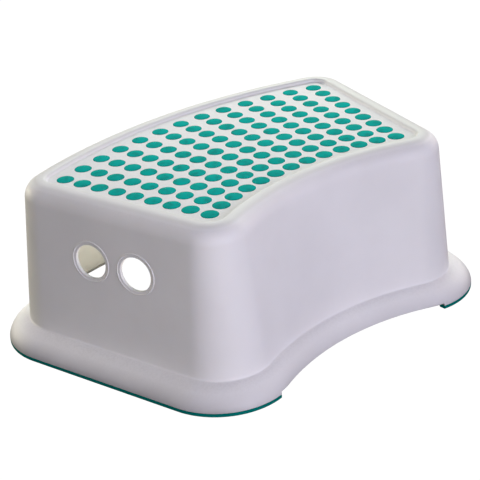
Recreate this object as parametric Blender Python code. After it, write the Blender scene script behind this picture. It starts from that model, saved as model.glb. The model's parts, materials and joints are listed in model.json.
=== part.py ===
"""Moulded one-step stool for a child: a thin plastic shell on a flared base,
with nine rubber grip strips let into its tread and a rubber strip under each end.

Units are metres, +Z is up and +X runs along the stool's length.  The front, at -Y,
is hollowed to a curve and the back bulges to match, so both long edges and every row
of grip dots are arcs about one vertical axis in front of the stool, the arc axis.
The origin is the middle of the footprint, on the floor.
"""
import math

import bmesh
import bpy
from mathutils import Matrix, Vector

# ---- driving dimensions -----------------------------------------------------------
HEIGHT = 0.1310             # floor to the top of the rim round the tread
MID_RADIUS = 0.3169         # arc axis to the middle row of dots
HALF_DEPTH = 0.12245        # middle row to the base's front or back edge, along a radius
MID_HALF_LENGTH = 0.1753    # centre to the slanting end of the base, at the middle row
END_SLANT = math.radians(14.3)
BASE_CORNER = 0.0545        # plan radius of the base's corners
WALL = 0.0026               # moulded wall thickness
GAP = 0.0003                # clearance between touching pieces

FOOT_STRIP_HEIGHT = 0.0025
FOOT_STRIP_WIDTH = 0.0055
FOOT_INNER_X = 0.0863       # the feet end here and the skirt between them is raised
SKIRT_CLEARANCE = 0.0046

FLARE_LONG = 0.0158         # width of the flared base at the front and back
FLARE_END = 0.0182          # width of the flared base at the ends
FLARE_TOP = 0.0177          # height where the flare meets the wall
FLARE_POWER = 1.25          # 1 is an elliptical shoulder, 2 a straight slope
DRAFT_LONG = 0.1055         # lean of the walls, run over rise
DRAFT_END = 0.0840
TOP_ROUND = 0.0139          # radius where the walls turn over into the rim

RIM_FLAT = 0.0028
RECESS_DEPTH = 0.0031       # tread below the rim
RECESS_RUN = 0.0010         # lean of the step down from rim to tread

ROWS = 9
DOTS_PER_ROW = 13
ROW_PITCH = 0.01637
ARC_PITCH_BACK = 0.02167    # dot to dot along the back row
ARC_PITCH_FRONT = 0.01599   # dot to dot along the front row
DOT_RADIUS = 0.0065
DOT_RISE = 0.0011           # crown of a dot above the tread
DOT_SIDES = 10

RUNNER_WIDTH = 0.0050       # bar under the tread that joins the dots of a row
RUNNER_HEIGHT = 0.0018

RIB_ROWS = (-3.5, -1.5, 1.5, 3.5)   # stiffening ribs, in row pitches from the middle row
RIB_THICKNESS = 0.0020
RIB_DEPTH = 0.0060

HAND_HOLE_RADIUS = 0.0132
HAND_HOLE_STRETCH = 1.04    # the holes are a little longer along the wall than they are high
HAND_HOLE_SPACING = 0.0412
HAND_HOLE_HEIGHT = 0.0858
HAND_HOLE_FORWARD = 0.0012  # the pair sits this far ahead of the middle of the end's flat
BEAD_RADIUS = 0.0159        # raised ring round each hand hole
BEAD_THICKNESS = 0.0007

FRONT_ARC_STEPS = 7         # per half
BACK_ARC_STEPS = 6
CORNER_STEPS = 5
FLARE_STEPS = 4
ROUND_STEPS = 4
RUNNER_STEPS = 6
HAND_HOLE_SIDES = 16

# ---- derived dimensions -----------------------------------------------------------
END_NORMAL = Vector((math.cos(END_SLANT), -math.sin(END_SLANT)))
END_DIRECTION = Vector((math.sin(END_SLANT), math.cos(END_SLANT)))
FRONT_RADIUS = MID_RADIUS - HALF_DEPTH
BACK_RADIUS = MID_RADIUS + HALF_DEPTH
END_DISTANCE = END_NORMAL.dot(Vector((MID_HALF_LENGTH, MID_RADIUS)))

SHELL_BOTTOM = FOOT_STRIP_HEIGHT + GAP
WALL_TOP = HEIGHT - TOP_ROUND
WALL_RISE = WALL_TOP - FLARE_TOP
TREAD = HEIGHT - RECESS_DEPTH
TREAD_UNDERSIDE = TREAD - WALL
TOP_INSET_LONG = FLARE_LONG + DRAFT_LONG * WALL_RISE
TOP_INSET_END = FLARE_END + DRAFT_END * WALL_RISE


# ---- scene and material helpers ----------------------------------------------------
def clear_scene():
    for obj in list(bpy.data.objects):
        bpy.data.objects.remove(obj, do_unlink=True)


def make_collection(name):
    collection = bpy.data.collections.new(name)
    bpy.context.scene.collection.children.link(collection)
    return collection


def make_material(name, colour, roughness, metallic=0.0):
    material = bpy.data.materials.new(name)
    material.use_nodes = True
    shader = material.node_tree.nodes["Principled BSDF"]
    shader.inputs["Base Color"].default_value = (*colour, 1.0)
    shader.inputs["Roughness"].default_value = roughness
    shader.inputs["Metallic"].default_value = metallic
    return material


def make_object(name, bm, collection, material=None):
    bmesh.ops.recalc_face_normals(bm, faces=bm.faces)
    mesh = bpy.data.meshes.new(name)
    bm.to_mesh(mesh)
    bm.free()
    obj = bpy.data.objects.new(name, mesh)
    collection.objects.link(obj)
    if material is not None:
        mesh.materials.append(material)
        mesh.shade_smooth()
        mesh.set_sharp_from_angle(angle=math.radians(30))
    return obj


def make_cutter(name, bm, collection):
    obj = make_object(name, bm, collection)
    obj.hide_render = True
    obj.display_type = 'WIRE'
    return obj


def add_boolean(obj, operation, other):
    modifier = obj.modifiers.new(f"{operation.title()} {other.name}", 'BOOLEAN')
    modifier.operation = operation
    modifier.solver = 'EXACT'
    modifier.object = other


# ---- plan outline ------------------------------------------------------------------
def corner_centre(reach, end_distance):
    """Centre of a plan corner: `reach` from the arc axis and `end_distance` along
    the end's normal from it."""
    along = math.sqrt(reach ** 2 - end_distance ** 2)
    return END_NORMAL * end_distance + END_DIRECTION * along


def arc_points(centre, radius, start, end, steps):
    """Points on an arc, its angles measured from +X, both ends included."""
    points = []
    for step in range(steps + 1):
        angle = start + (end - start) * step / steps
        points.append(centre + Vector((math.cos(angle), math.sin(angle))) * radius)
    return points


def half_outline(inset_long, inset_end):
    """The +X half of a plan outline inside the base outline, from the middle of the
    front to the middle of the back, relative to the arc axis."""
    corner = BASE_CORNER - inset_long
    front = FRONT_RADIUS + inset_long
    back = BACK_RADIUS - inset_long
    reach = END_DISTANCE - inset_end - corner
    front_centre = corner_centre(front + corner, reach)
    back_centre = corner_centre(back - corner, reach)
    front_angle = math.atan2(front_centre.y, front_centre.x)
    back_angle = math.atan2(back_centre.y, back_centre.x)
    axis = Vector((0.0, 0.0))
    quarter = math.pi / 2
    points = arc_points(axis, front, quarter, front_angle, FRONT_ARC_STEPS)
    points += arc_points(front_centre, corner, front_angle - math.pi, -END_SLANT, CORNER_STEPS)[1:]
    points += arc_points(back_centre, corner, -END_SLANT, back_angle, CORNER_STEPS)
    points += arc_points(axis, back, back_angle, quarter, BACK_ARC_STEPS)[1:]
    return points


# The footprint's middle is the origin.
BASE_OUTLINE = half_outline(0.0, 0.0)
ARC_AXIS_Y = -(max(point.y for point in BASE_OUTLINE) + min(point.y for point in BASE_OUTLINE)) / 2


def outline(inset_long, inset_end):
    """The whole outline, counter-clockwise, in the stool's own frame."""
    right = half_outline(inset_long, inset_end)
    left = [Vector((-point.x, point.y)) for point in reversed(right[1:-1])]
    return [Vector((point.x, point.y + ARC_AXIS_Y)) for point in right + left]


def add_ring(bm, points, height):
    return [bm.verts.new((point.x, point.y, height)) for point in points]


def bridge(bm, lower, upper, closed=True):
    count = len(lower)
    for index in range(count if closed else count - 1):
        after = (index + 1) % count
        bm.faces.new((lower[index], lower[after], upper[after], upper[index]))


# ---- the shell ---------------------------------------------------------------------
def flare_levels(depth=0.0):
    """Flared base from its lip up to the wall, `depth` inside the outer face, as
    (inset_long, inset_end, height)."""
    levels = [(depth, depth, SHELL_BOTTOM / 2)]
    for step in range(FLARE_STEPS + 1):
        angle = math.pi / 2 * step / FLARE_STEPS
        inward = 1 - max(math.cos(angle), 0.0) ** FLARE_POWER
        upward = math.sin(angle) ** FLARE_POWER
        height = SHELL_BOTTOM + (FLARE_TOP - depth - SHELL_BOTTOM) * upward
        levels.append((depth + FLARE_LONG * inward, depth + FLARE_END * inward, height))
    return levels


def top_levels(depth=0.0):
    """Wall top, rounded shoulder, rim and step down to the tread, `depth` inside
    the outer face."""
    levels = [(TOP_INSET_LONG + depth, TOP_INSET_END + depth, WALL_TOP)]
    for step in range(1, ROUND_STEPS + 1):
        angle = math.pi / 2 * step / ROUND_STEPS
        inward = TOP_ROUND - (TOP_ROUND - depth) * math.cos(angle)
        height = WALL_TOP + (TOP_ROUND - depth) * math.sin(angle)
        levels.append((TOP_INSET_LONG + inward, TOP_INSET_END + inward, height))
    step_angle = math.atan2(RECESS_DEPTH, RECESS_RUN)
    edge = TOP_ROUND + RIM_FLAT - depth * math.tan(step_angle / 2)
    for inward, height in ((edge, HEIGHT - depth), (edge + RECESS_RUN, TREAD - depth)):
        levels.append((TOP_INSET_LONG + inward, TOP_INSET_END + inward, height))
    return levels


def add_skin(bm, levels):
    """Skin through plan outlines, closed by the flat tread at the top.  Returns its
    lowest ring."""
    rings = [add_ring(bm, outline(long, end), height) for long, end, height in levels]
    for lower, upper in zip(rings, rings[1:]):
        bridge(bm, lower, upper)
    bm.faces.new(rings[-1])
    return rings[0]


def base_rail():
    """Closed rail that thickens the shell's lower edge to carry the foot strips."""
    bm = bmesh.new()
    outer = WALL / 2
    section = ((outer, 0.2), (FOOT_STRIP_WIDTH, 0.2), (FOOT_STRIP_WIDTH, 2.3), (outer, 2.3))
    rings = [add_ring(bm, outline(inset, inset), SHELL_BOTTOM * level) for inset, level in section]
    for first, second in zip(rings, rings[1:] + rings[:1]):
        bridge(bm, first, second)
    return bm


def swept_bar(bm, radius, width, low, high, half_angle, steps):
    """Rectangular bar swept about the arc axis, centred on the stool's middle."""
    rotation = Matrix.Rotation(-half_angle, 3, 'Z')
    corners = ((-width, low), (width, low), (width, high), (-width, high))
    verts = []
    for offset, height in corners:
        spoke = rotation @ Vector((0.0, radius + offset / 2, height))
        verts.append(bm.verts.new(spoke + Vector((0.0, ARC_AXIS_Y, 0.0))))
    face = bm.faces.new(verts)
    bmesh.ops.spin(
        bm,
        geom=[face, *face.edges, *face.verts],
        cent=(0.0, ARC_AXIS_Y, 0.0),
        axis=(0.0, 0.0, 1.0),
        angle=2 * half_angle,
        steps=steps,
    )


def hand_hole_frames():
    """Frames on the end walls' outer face at the hand holes, local Z pointing out."""
    reach = END_DISTANCE - BASE_CORNER
    front = corner_centre(FRONT_RADIUS + BASE_CORNER, reach)
    back = corner_centre(BACK_RADIUS - BASE_CORNER, reach)
    middle = (END_DIRECTION.dot(front) + END_DIRECTION.dot(back)) / 2 - HAND_HOLE_FORWARD
    inset = FLARE_END + DRAFT_END * (HAND_HOLE_HEIGHT - FLARE_TOP)
    frames = []
    for side in (-1, 1):
        along = Vector((side * END_DIRECTION.x, END_DIRECTION.y, 0.0))
        outward = Vector((side * END_NORMAL.x, END_NORMAL.y, DRAFT_END)).normalized()
        for offset in (-HAND_HOLE_SPACING / 2, HAND_HOLE_SPACING / 2):
            flat = END_NORMAL * (END_DISTANCE - inset) + END_DIRECTION * (middle + offset)
            place = Vector((side * flat.x, flat.y + ARC_AXIS_Y, HAND_HOLE_HEIGHT))
            frame = Matrix((along, outward.cross(along), outward)).transposed()
            stretch = Matrix.Diagonal((HAND_HOLE_STRETCH, 1 / HAND_HOLE_STRETCH, 1.0, 1.0))
            frames.append(Matrix.Translation(place) @ frame.to_4x4() @ stretch)
    return frames


def add_torus(bm, frame, radius, thickness, segments, sides):
    """Ring bead: a circle of circles about the frame's Z."""
    loops = []
    for step in range(segments):
        turn = Matrix.Rotation(2 * math.pi * step / segments, 4, 'Z')
        place = frame @ turn @ Matrix.Translation((radius, 0.0, 0.0))
        circle = bmesh.ops.create_circle(
            bm, segments=sides, radius=thickness,
            matrix=place @ Matrix.Rotation(math.pi / 2, 4, 'X'))
        loops.append(circle['verts'])
    for first, second in zip(loops, loops[1:] + loops[:1]):
        bridge(bm, first, second)


def make_shell(collection, cutters, material):
    bm = bmesh.new()
    outer_edge = add_skin(bm, flare_levels() + top_levels())
    inner_edge = add_skin(bm, flare_levels(WALL) + top_levels(WALL))
    bridge(bm, outer_edge, inner_edge)
    shell = make_object("step_shell", bm, collection, material)
    add_boolean(shell, 'UNION', make_cutter("base_rail", base_rail(), cutters))

    # Ribs run from end wall to end wall and stop half way through the wall.
    bm = bmesh.new()
    for row in RIB_ROWS:
        radius = MID_RADIUS + row * ROW_PITCH
        half_angle = math.asin(MID_HALF_LENGTH / radius)
        low = TREAD_UNDERSIDE - RIB_DEPTH
        swept_bar(bm, radius, RIB_THICKNESS, low, HEIGHT, half_angle, 2 * BACK_ARC_STEPS)
    ribs = make_cutter("ribs", bm, cutters)
    bm = bmesh.new()
    bm.faces.new(add_skin(bm, flare_levels(WALL / 2) + top_levels(WALL / 2)))
    add_boolean(ribs, 'INTERSECT', make_cutter("mid_wall", bm, cutters))
    add_boolean(shell, 'UNION', ribs)

    frames = hand_hole_frames()
    bm = bmesh.new()
    for frame in frames:
        add_torus(bm, frame, BEAD_RADIUS, BEAD_THICKNESS, HAND_HOLE_SIDES, 5)
    add_boolean(shell, 'UNION', make_cutter("hand_hole_beads", bm, cutters))

    bm = bmesh.new()
    for frame in frames:
        bmesh.ops.create_cone(
            bm, cap_ends=True, segments=HAND_HOLE_SIDES, radius1=HAND_HOLE_RADIUS,
            radius2=HAND_HOLE_RADIUS, depth=8 * WALL, matrix=frame)
    add_boolean(shell, 'DIFFERENCE', make_cutter("hand_holes", bm, cutters))

    # Trim the lower edge flat, and higher between the feet.
    drop = 0.02
    for name, half_length, top in (
            ("floor_trim", 2 * MID_HALF_LENGTH, SHELL_BOTTOM),
            ("skirt_trim", FOOT_INNER_X, SKIRT_CLEARANCE)):
        bm = bmesh.new()
        size = Matrix.Diagonal((2 * half_length, 4 * HALF_DEPTH, drop, 1.0))
        bmesh.ops.create_cube(
            bm, size=1.0, matrix=Matrix.Translation((0.0, 0.0, top - drop / 2)) @ size)
        add_boolean(shell, 'DIFFERENCE', make_cutter(name, bm, cutters))

    bm = bmesh.new()
    quarter_turn = Matrix.Rotation(math.pi / 2, 4, 'Z')
    for row in range(ROWS):
        for centre in row_centres(row):
            bmesh.ops.create_cone(
                bm, cap_ends=True, segments=DOT_SIDES, radius1=DOT_RADIUS + GAP,
                radius2=DOT_RADIUS + GAP, depth=4 * WALL,
                matrix=Matrix.Translation((centre.x, centre.y, TREAD)) @ quarter_turn)
    add_boolean(shell, 'DIFFERENCE', make_cutter("dot_holes", bm, cutters))
    return shell


# ---- grip strips -------------------------------------------------------------------
def row_radius(row):
    """Row 0 is at the back."""
    return MID_RADIUS + ((ROWS - 1) / 2 - row) * ROW_PITCH


def row_pitch(row):
    return ARC_PITCH_BACK + (ARC_PITCH_FRONT - ARC_PITCH_BACK) * row / (ROWS - 1)


def row_centres(row):
    radius = row_radius(row)
    centres = []
    for column in range(DOTS_PER_ROW):
        angle = (column - (DOTS_PER_ROW - 1) / 2) * row_pitch(row) / radius
        centres.append(Vector((radius * math.sin(angle), radius * math.cos(angle) + ARC_AXIS_Y)))
    return centres


def add_dot(bm, centre):
    """Turned stud: a straight shank through the tread and a low crown above it."""
    profile = (
        (0.0, TREAD_UNDERSIDE - GAP - RUNNER_HEIGHT / 2),
        (DOT_RADIUS, TREAD_UNDERSIDE - GAP - RUNNER_HEIGHT / 2),
        (DOT_RADIUS, TREAD + DOT_RISE * 0.4),
        (DOT_RADIUS * 0.7, TREAD + DOT_RISE),
        (0.0, TREAD + DOT_RISE),
    )
    verts = [bm.verts.new((centre.x + out, centre.y, height)) for out, height in profile]
    edges = [bm.edges.new(pair) for pair in zip(verts, verts[1:])]
    bmesh.ops.spin(
        bm,
        geom=verts + edges,
        cent=(centre.x, centre.y, 0.0),
        axis=(0.0, 0.0, 1.0),
        angle=2 * math.pi,
        steps=DOT_SIDES,
        use_merge=True,
    )


def make_grip_strip(row, collection, cutters, material):
    name = f"grip_strip_{row + 1}"
    radius = row_radius(row)
    top = TREAD_UNDERSIDE - GAP
    half_length = (DOTS_PER_ROW - 1) / 2 * row_pitch(row) + RUNNER_WIDTH / 2
    bm = bmesh.new()
    swept_bar(bm, radius, RUNNER_WIDTH, top - RUNNER_HEIGHT, top, half_length / radius, RUNNER_STEPS)
    strip = make_object(name, bm, collection, material)

    bm = bmesh.new()
    for centre in row_centres(row):
        add_dot(bm, centre)
    bmesh.ops.remove_doubles(bm, verts=bm.verts, dist=0.00001)
    add_boolean(strip, 'UNION', make_cutter(f"dots_{row + 1}", bm, cutters))
    return strip


# ---- foot strips -------------------------------------------------------------------
def foot_path(inset):
    """The part of the +X outline that stands on a foot, from the front notch round
    the end to the back notch."""
    end_x = FOOT_INNER_X + GAP
    points = half_outline(inset, inset)
    path = []
    for point, after in zip(points, points[1:]):
        if point.x >= end_x:
            path.append(point)
        if (point.x < end_x) != (after.x < end_x):
            path.append(point.lerp(after, (end_x - point.x) / (after.x - point.x)))
    return [Vector((point.x, point.y + ARC_AXIS_Y)) for point in path]


def make_foot_grip(name, side, collection, material):
    bm = bmesh.new()
    rings = []
    for inset, height in (
            (0.0, 0.0),
            (0.0, FOOT_STRIP_HEIGHT),
            (FOOT_STRIP_WIDTH, FOOT_STRIP_HEIGHT),
            (FOOT_STRIP_WIDTH, 0.0)):
        points = [Vector((side * point.x, point.y)) for point in foot_path(inset)]
        rings.append(add_ring(bm, points, height))
    for first, second in zip(rings, rings[1:] + rings[:1]):
        bridge(bm, first, second, closed=False)
    bm.faces.new([ring[0] for ring in rings])
    bm.faces.new([ring[-1] for ring in rings])
    return make_object(name, bm, collection, material)


def main():
    clear_scene()
    stool = make_collection("step_stool")
    cutters = make_collection("cutters")
    plastic = make_material("white_polypropylene", (0.80, 0.79, 0.81), 0.45)
    rubber = make_material("teal_rubber", (0.0, 0.30, 0.25), 0.55)
    make_shell(stool, cutters, plastic)
    for row in range(ROWS):
        make_grip_strip(row, stool, cutters, rubber)
    make_foot_grip("foot_grip_left", -1, stool, rubber)
    make_foot_grip("foot_grip_right", 1, stool, rubber)


main()
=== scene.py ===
"""Looks of the moulded one-step stool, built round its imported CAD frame.

The CAD shell, grip strips and foot strips are replaced by finer meshes of the same
size: a smooth lofted shell with filleted edges, beaded hand holes and a drilled tread,
crowned rubber dots on their runners, and rounded rubber strips under the two ends.
Everything is in metres in the frame of the CAD part: +Z up, +X along the stool.
"""

import json
import math

import bmesh
import bpy
import numpy as np
from mathutils import Matrix, Vector


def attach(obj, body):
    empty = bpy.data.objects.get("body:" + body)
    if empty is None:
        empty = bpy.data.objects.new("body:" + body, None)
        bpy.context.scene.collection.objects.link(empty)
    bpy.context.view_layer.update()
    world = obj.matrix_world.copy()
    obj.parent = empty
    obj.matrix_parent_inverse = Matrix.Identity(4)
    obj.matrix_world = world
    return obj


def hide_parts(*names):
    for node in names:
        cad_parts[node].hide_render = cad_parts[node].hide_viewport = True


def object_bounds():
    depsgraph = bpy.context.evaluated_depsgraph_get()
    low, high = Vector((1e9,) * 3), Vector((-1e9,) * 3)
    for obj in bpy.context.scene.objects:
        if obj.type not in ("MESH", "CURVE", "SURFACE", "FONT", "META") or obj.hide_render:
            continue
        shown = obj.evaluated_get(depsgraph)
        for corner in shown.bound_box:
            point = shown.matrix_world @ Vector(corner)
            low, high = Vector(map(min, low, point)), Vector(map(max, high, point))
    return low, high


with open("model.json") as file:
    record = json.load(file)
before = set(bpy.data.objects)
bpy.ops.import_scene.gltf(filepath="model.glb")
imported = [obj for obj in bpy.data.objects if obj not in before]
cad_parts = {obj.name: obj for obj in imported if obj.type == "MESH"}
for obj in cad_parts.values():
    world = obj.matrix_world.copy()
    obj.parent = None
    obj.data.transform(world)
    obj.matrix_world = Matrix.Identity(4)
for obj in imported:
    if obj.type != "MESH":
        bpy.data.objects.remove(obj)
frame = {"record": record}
cad_low, cad_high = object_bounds()

# ---- sizes shared with the CAD ---------------------------------------------------
HEIGHT = cad_high.z
MID_RADIUS = 0.3169         # arc axis to the middle row of dots
HALF_DEPTH = 0.12245        # middle row to the front or back edge, at the floor
MID_HALF_LENGTH = 0.1753    # at the floor, along the middle row
END_SLANT = math.radians(14.3)
BASE_CORNER = 0.0545        # corner radius at the floor
WALL = 0.0026
GAP = 0.0003                # kept between neighbouring pieces

FOOT_STRIP_HEIGHT = 0.0025
FOOT_STRIP_WIDTH = 0.0055
FOOT_INNER_X = 0.0863       # inner ends of the feet
SKIRT_CLEARANCE = 0.0046    # under the skirt, between the feet

FLARE_LONG = 0.0158         # how far the flare stands out along the front and back
FLARE_END = 0.0182          # and at the ends
FLARE_TOP = 0.0177          # height of the crease where the wall starts
FLARE_POWER = 1.25
DRAFT_LONG = 0.1055         # lean of the front and back walls, per metre of height
DRAFT_END = 0.0840
TOP_ROUND = 0.0139          # radius from the wall over into the rim
RIM_FLAT = 0.0028
RECESS_DEPTH = 0.0031       # tread below the rim
RECESS_RUN = 0.0010

ROWS = 9
DOTS_PER_ROW = 13
ROW_PITCH = 0.01637
ARC_PITCH_BACK = 0.02167    # between dots of the back row
ARC_PITCH_FRONT = 0.01599
DOT_RADIUS = 0.0065
DOT_RISE = 0.0011           # crown of a dot above the tread
RUNNER_WIDTH = 0.0050       # bar under the tread that joins the dots of a row
RUNNER_HEIGHT = 0.0018
RIB_ROWS = (-3.5, -1.5, 1.5, 3.5)   # in row pitches from the middle row
RIB_THICKNESS = 0.0020
RIB_DEPTH = 0.0060

HAND_HOLE_RADIUS = 0.0132
HAND_HOLE_STRETCH = 1.04    # longer along the wall than high
HAND_HOLE_SPACING = 0.0412
HAND_HOLE_HEIGHT = 0.0858
HAND_HOLE_FORWARD = 0.0012  # the pair sits this far in front of the wall's middle

# ---- finer shape of this model -----------------------------------------------------
LIP_ROUND = 0.0005          # edge of the shell just above the foot strips
CREASE_ROUND = 0.0014       # fillet where the flare meets the wall
RIDGE_ROUND = 0.0018        # inner edge of the rim
RECESS_FILLET = 0.0014      # foot of the step down to the tread
RAIL_TOP = 0.0062           # the lower edge is thick up to here
HOLE_EDGE = 0.0005          # rounding of a hand hole's edges
BEAD_INNER = 0.0152         # raised ring round a hand hole
BEAD_OUTER = 0.0166
BEAD_RISE = 0.0004
BEAD_RUNOUT = 0.0006        # ring of flat wall kept round the bead
BEAD_FLATNESS = 2.6         # 2 is a round top, more is flatter
BEAD_STEEPNESS = 0.7        # less is steeper at the bead's edges
RAIL_EDGE = 0.0003          # chamfer of the thick lower edge
RAIL_RUNOUT = 0.0010        # from the rail's top to where the inner wall starts
RIB_TAPER = 0.15            # of its thickness, off each side of a rib's lower edge
SHUT_OFF = 0.0007           # smooth land round each dot
DOT_HOLE_SLACK = 0.00004
DOT_HOLE_EDGE = 0.00018
DOT_FOOT_EDGE = 0.0003      # chamfer round a dot's foot
DOT_FOOT_DEPTH = 0.6        # of the runner's height, how far a dot reaches into it
SHOULDER_START = 0.10       # of the dot's rise, where the upright side ends
SHOULDER_RISE = 0.26        # of the dot's rise
SHOULDER_RUN = 0.10         # of the dot's radius
SHOULDER_TURN = 0.80        # of a quarter turn, where the crown takes over
RUNNER_BEVEL = 0.0004
STRIP_ROUND = 0.0005        # edges of the foot strips

ARC_STEPS = 40              # per half of the front or back arc
CORNER_STEPS = 24
END_STEPS = 48
FLARE_STEPS = 14
CREASE_STEPS = 6
ROUND_STEPS = 14
RIDGE_STEPS = 8
RECESS_STEPS = 7
BEAD_STEPS = 10
EDGE_STEPS = 3              # round a hand hole's edges and a foot strip's
SHOULDER_STEPS = 5          # round a dot's shoulder
WINDOW_STEPS = 14           # squares each way of the patch a hand hole is cut from
CELL_STEPS = 8              # squares each way of the patch a dot hole is cut from
DOT_SIDES = 4 * CELL_STEPS
RIB_STEPS = 48
RUNNER_STEPS = 60
STRIP_END_STEPS = 16
WINDOW_HALF_HEIGHT = 0.0190
NOTCH_HALF = 0.00015        # half the width of the step at the end of a foot
ROUND_DOWN = 0.01           # keeps a half from rounding up
CREASE_MARGIN = 0.0001      # the flare stops this far below the crease
SHARES_BELOW_WINDOWS = (0.06, 0.2, 0.4, 0.6, 0.8)   # wall levels, closer near the crease
SHARES_OF_CROWN = (0.85, 0.7, 0.55, 0.4, 0.2)       # rings of a dot's crown, inwards

# Faces that meet at more than this many degrees keep a sharp edge between them.
SHELL_SHARP = 32
GRIP_SHARP = 34
FOOT_SHARP = 40

# ---- derived sizes ---------------------------------------------------------------
END_NORMAL = Vector((math.cos(END_SLANT), -math.sin(END_SLANT)))
END_DIRECTION = Vector((math.sin(END_SLANT), math.cos(END_SLANT)))
FRONT_RADIUS = MID_RADIUS - HALF_DEPTH
BACK_RADIUS = MID_RADIUS + HALF_DEPTH
END_DISTANCE = END_NORMAL.dot(Vector((MID_HALF_LENGTH, MID_RADIUS)))
SHELL_BOTTOM = FOOT_STRIP_HEIGHT + GAP
WALL_TOP = HEIGHT - TOP_ROUND
TREAD = HEIGHT - RECESS_DEPTH
TREAD_UNDERSIDE = TREAD - WALL
TOP_INSET_LONG = FLARE_LONG + DRAFT_LONG * (WALL_TOP - FLARE_TOP)
TOP_INSET_END = FLARE_END + DRAFT_END * (WALL_TOP - FLARE_TOP)
RING_COUNT = 4 * (ARC_STEPS + CORNER_STEPS) + 2 * END_STEPS

# The middle dot's crown is the record's tread mount.
tread_mount = next(m for m in frame["record"]["mounts"] if m["name"] == "tread")
ARC_AXIS_Y = tread_mount["pos_m"][1] - MID_RADIUS


# ---- plan outline ----------------------------------------------------------------
def corner_centre(reach, end_distance):
    """Point `reach` from the arc axis and `end_distance` out towards the +X end."""
    along = math.sqrt(reach ** 2 - end_distance ** 2)
    return END_NORMAL * end_distance + END_DIRECTION * along


def fractions_with_notch(count, notch):
    """0 to 1 in `count` steps, one of them across `notch` and as yet of no length.
    Returns them with the index where that step starts."""
    before = max(1, round(notch * count - ROUND_DOWN))
    after = count - before - 1
    first = [notch * step / before for step in range(before)]
    last = [notch + (1 - notch) * step / after for step in range(1, after + 1)]
    return first + [notch, notch] + last, before


def corner_centres(inset_long, inset_end):
    """Centres of an outline's two +X corners, relative to the arc axis."""
    corner = BASE_CORNER - inset_long
    reach = END_DISTANCE - inset_end - corner
    front = corner_centre(FRONT_RADIUS + inset_long + corner, reach)
    back = corner_centre(BACK_RADIUS - inset_long - corner, reach)
    return front, back


def notch_fractions():
    """Where the foot's inner end falls on the front corner and on the back arc at the
    base, and half the length of the notch's short step there, as shares of each."""
    front, back = corner_centres(0.0, 0.0)
    start = math.atan2(front.y, front.x) - math.pi
    angle = -math.acos((FOOT_INNER_X - front.x) / BASE_CORNER)
    corner_share = (angle - start) / (-END_SLANT - start)
    corner_step = NOTCH_HALF / (BASE_CORNER * (-END_SLANT - start))
    limit = math.pi / 2 - math.atan2(back.y, back.x)
    arc_share = math.asin(FOOT_INNER_X / BACK_RADIUS) / limit
    arc_step = NOTCH_HALF / (BACK_RADIUS * limit)
    return corner_share, corner_step, arc_share, arc_step


def widened(fractions, first, half_step):
    """Give the step across the notch its length."""
    fractions[first] -= half_step
    fractions[first + 1] += half_step
    return fractions


CORNER_SHARE, CORNER_NOTCH, ARC_SHARE, ARC_NOTCH = notch_fractions()
CORNER_FRACTIONS = widened(*fractions_with_notch(CORNER_STEPS, CORNER_SHARE), CORNER_NOTCH)
BACK_FRACTIONS = widened(*fractions_with_notch(ARC_STEPS, ARC_SHARE), ARC_NOTCH)


def on_arc(centre, radius, start, end, fraction):
    angle = start + (end - start) * fraction
    return (centre[0] + radius * math.cos(angle), centre[1] + radius * math.sin(angle))


def half_outline(inset_long, inset_end):
    """The +X half outline from the middle of the front to the middle of the back."""
    corner = BASE_CORNER - inset_long
    front = FRONT_RADIUS + inset_long
    back = BACK_RADIUS - inset_long
    front_centre, back_centre = corner_centres(inset_long, inset_end)
    front_angle = math.atan2(front_centre.y, front_centre.x)
    back_angle = math.atan2(back_centre.y, back_centre.x)
    quarter = math.pi / 2
    points = [
        on_arc((0, 0), front, quarter, front_angle, step / ARC_STEPS)
        for step in range(ARC_STEPS)
    ]
    corner_from, corner_to = front_angle - math.pi, -END_SLANT
    points += [
        on_arc(front_centre, corner, corner_from, corner_to, share)
        for share in CORNER_FRACTIONS
    ]
    end_from = np.array(points[-1])
    end_to = np.array(on_arc(back_centre, corner, -END_SLANT, back_angle, 0))
    points += [
        tuple(end_from + (end_to - end_from) * step / END_STEPS)
        for step in range(1, END_STEPS)
    ]
    points += [
        on_arc(back_centre, corner, -END_SLANT, back_angle, step / CORNER_STEPS)
        for step in range(CORNER_STEPS)
    ]
    points += [
        on_arc((0, 0), back, quarter, back_angle, share)
        for share in reversed(BACK_FRACTIONS)
    ]
    return points


def outline(inset_long, inset_end):
    """The whole outline as a (RING_COUNT, 2) array, counter-clockwise."""
    right = np.array(half_outline(inset_long, inset_end))
    left = right[-2:0:-1] * (-1, 1)
    return np.vstack((right, left)) + (0, ARC_AXIS_Y)


FIRST_END = ARC_STEPS + CORNER_STEPS            # where the right end's flat starts
FRONT_LEFT = RING_COUNT - ARC_STEPS - CORNER_STEPS // 2     # middle of that corner


# ---- profile of the shell --------------------------------------------------------
def flare_point(turn, depth=0.0):
    """Point of the flare `depth` inside its outer face; `turn` runs from 0 at the lip
    to a quarter turn at the crease.  Returns (inset_long, inset_end, height)."""
    inward = 1 - max(math.cos(turn), 0.0) ** FLARE_POWER
    upward = math.sin(turn) ** FLARE_POWER
    rise = FLARE_TOP - depth - SHELL_BOTTOM
    return np.array((depth + FLARE_LONG * inward, depth + FLARE_END * inward,
                     SHELL_BOTTOM + rise * upward))


def flare_turn(height, depth=0.0):
    share = (height - SHELL_BOTTOM) / (FLARE_TOP - depth - SHELL_BOTTOM)
    return math.asin(share ** (1 / FLARE_POWER))


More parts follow.
